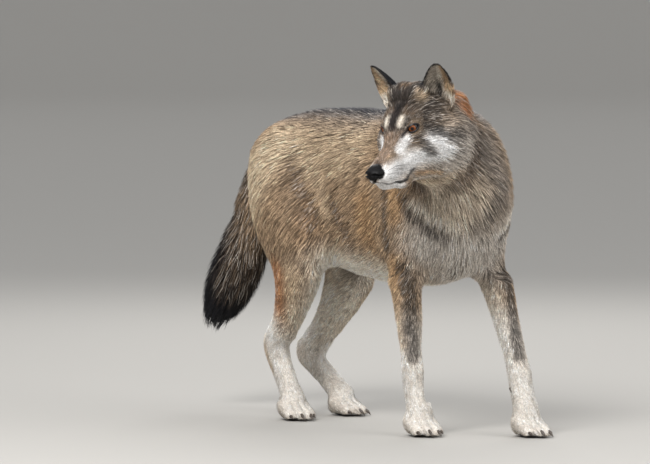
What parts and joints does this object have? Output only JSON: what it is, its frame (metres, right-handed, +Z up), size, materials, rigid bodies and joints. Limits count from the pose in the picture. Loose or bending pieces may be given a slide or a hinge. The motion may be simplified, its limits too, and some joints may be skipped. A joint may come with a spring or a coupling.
{
  "type": "timber wolf",
  "caption": "Life-size timber wolf in winter coat, standing square with the head turned to its right and the tail hanging, as a still posed model.",
  "frame": {"origin": "on the floor under the middle of the animal's bounding box", "axes": "+X the way the body faces, +Y the animal's left, +Z up"},
  "size_m": [1.0844, 0.5218, 0.8242],
  "materials": {
    "fur": "dense winter coat, matt, charcoal on the back, tan flanks, cream legs and face",
    "nose": "moist black nose leather, softly shiny",
    "eye": "clear glossy cornea over an amber iris",
    "claw": "dark horn, satin"
  },
  "bodies": {
    "root": {"chest": "fur", "ear_left": "fur", "ear_right": "fur", "eye_left": "eye", "eye_right": "eye", "front_left_claw_1": "claw", "front_left_claw_2": "claw", "front_left_claw_3": "claw", "front_left_claw_4": "claw", "front_left_dewclaw": "claw", "front_left_forearm": "fur", "front_left_pastern": "fur", "front_left_paw": "fur", "front_left_shoulder": "fur", "front_right_claw_1": "claw", "front_right_claw_2": "claw", "front_right_claw_3": "claw", "front_right_claw_4": "claw", "front_right_dewclaw": "claw", "front_right_forearm": "fur", "front_right_pastern": "fur", "front_right_paw": "fur", "front_right_shoulder": "fur", "head": "fur", "hind_left_claw_1": "claw", "hind_left_claw_2": "claw", "hind_left_claw_3": "claw", "hind_left_claw_4": "claw", "hind_left_hock": "fur", "hind_left_paw": "fur", "hind_left_shank": "fur", "hind_left_thigh": "fur", "hind_right_claw_1": "claw", "hind_right_claw_2": "claw", "hind_right_claw_3": "claw", "hind_right_claw_4": "claw", "hind_right_hock": "fur", "hind_right_paw": "fur", "hind_right_shank": "fur", "hind_right_thigh": "fur", "loin": "fur", "lower_jaw": "fur", "neck": "fur", "nose": "nose", "tail_brush": "fur", "tail_root": "fur", "tail_tip": "fur"}
  },
  "joints": []
}
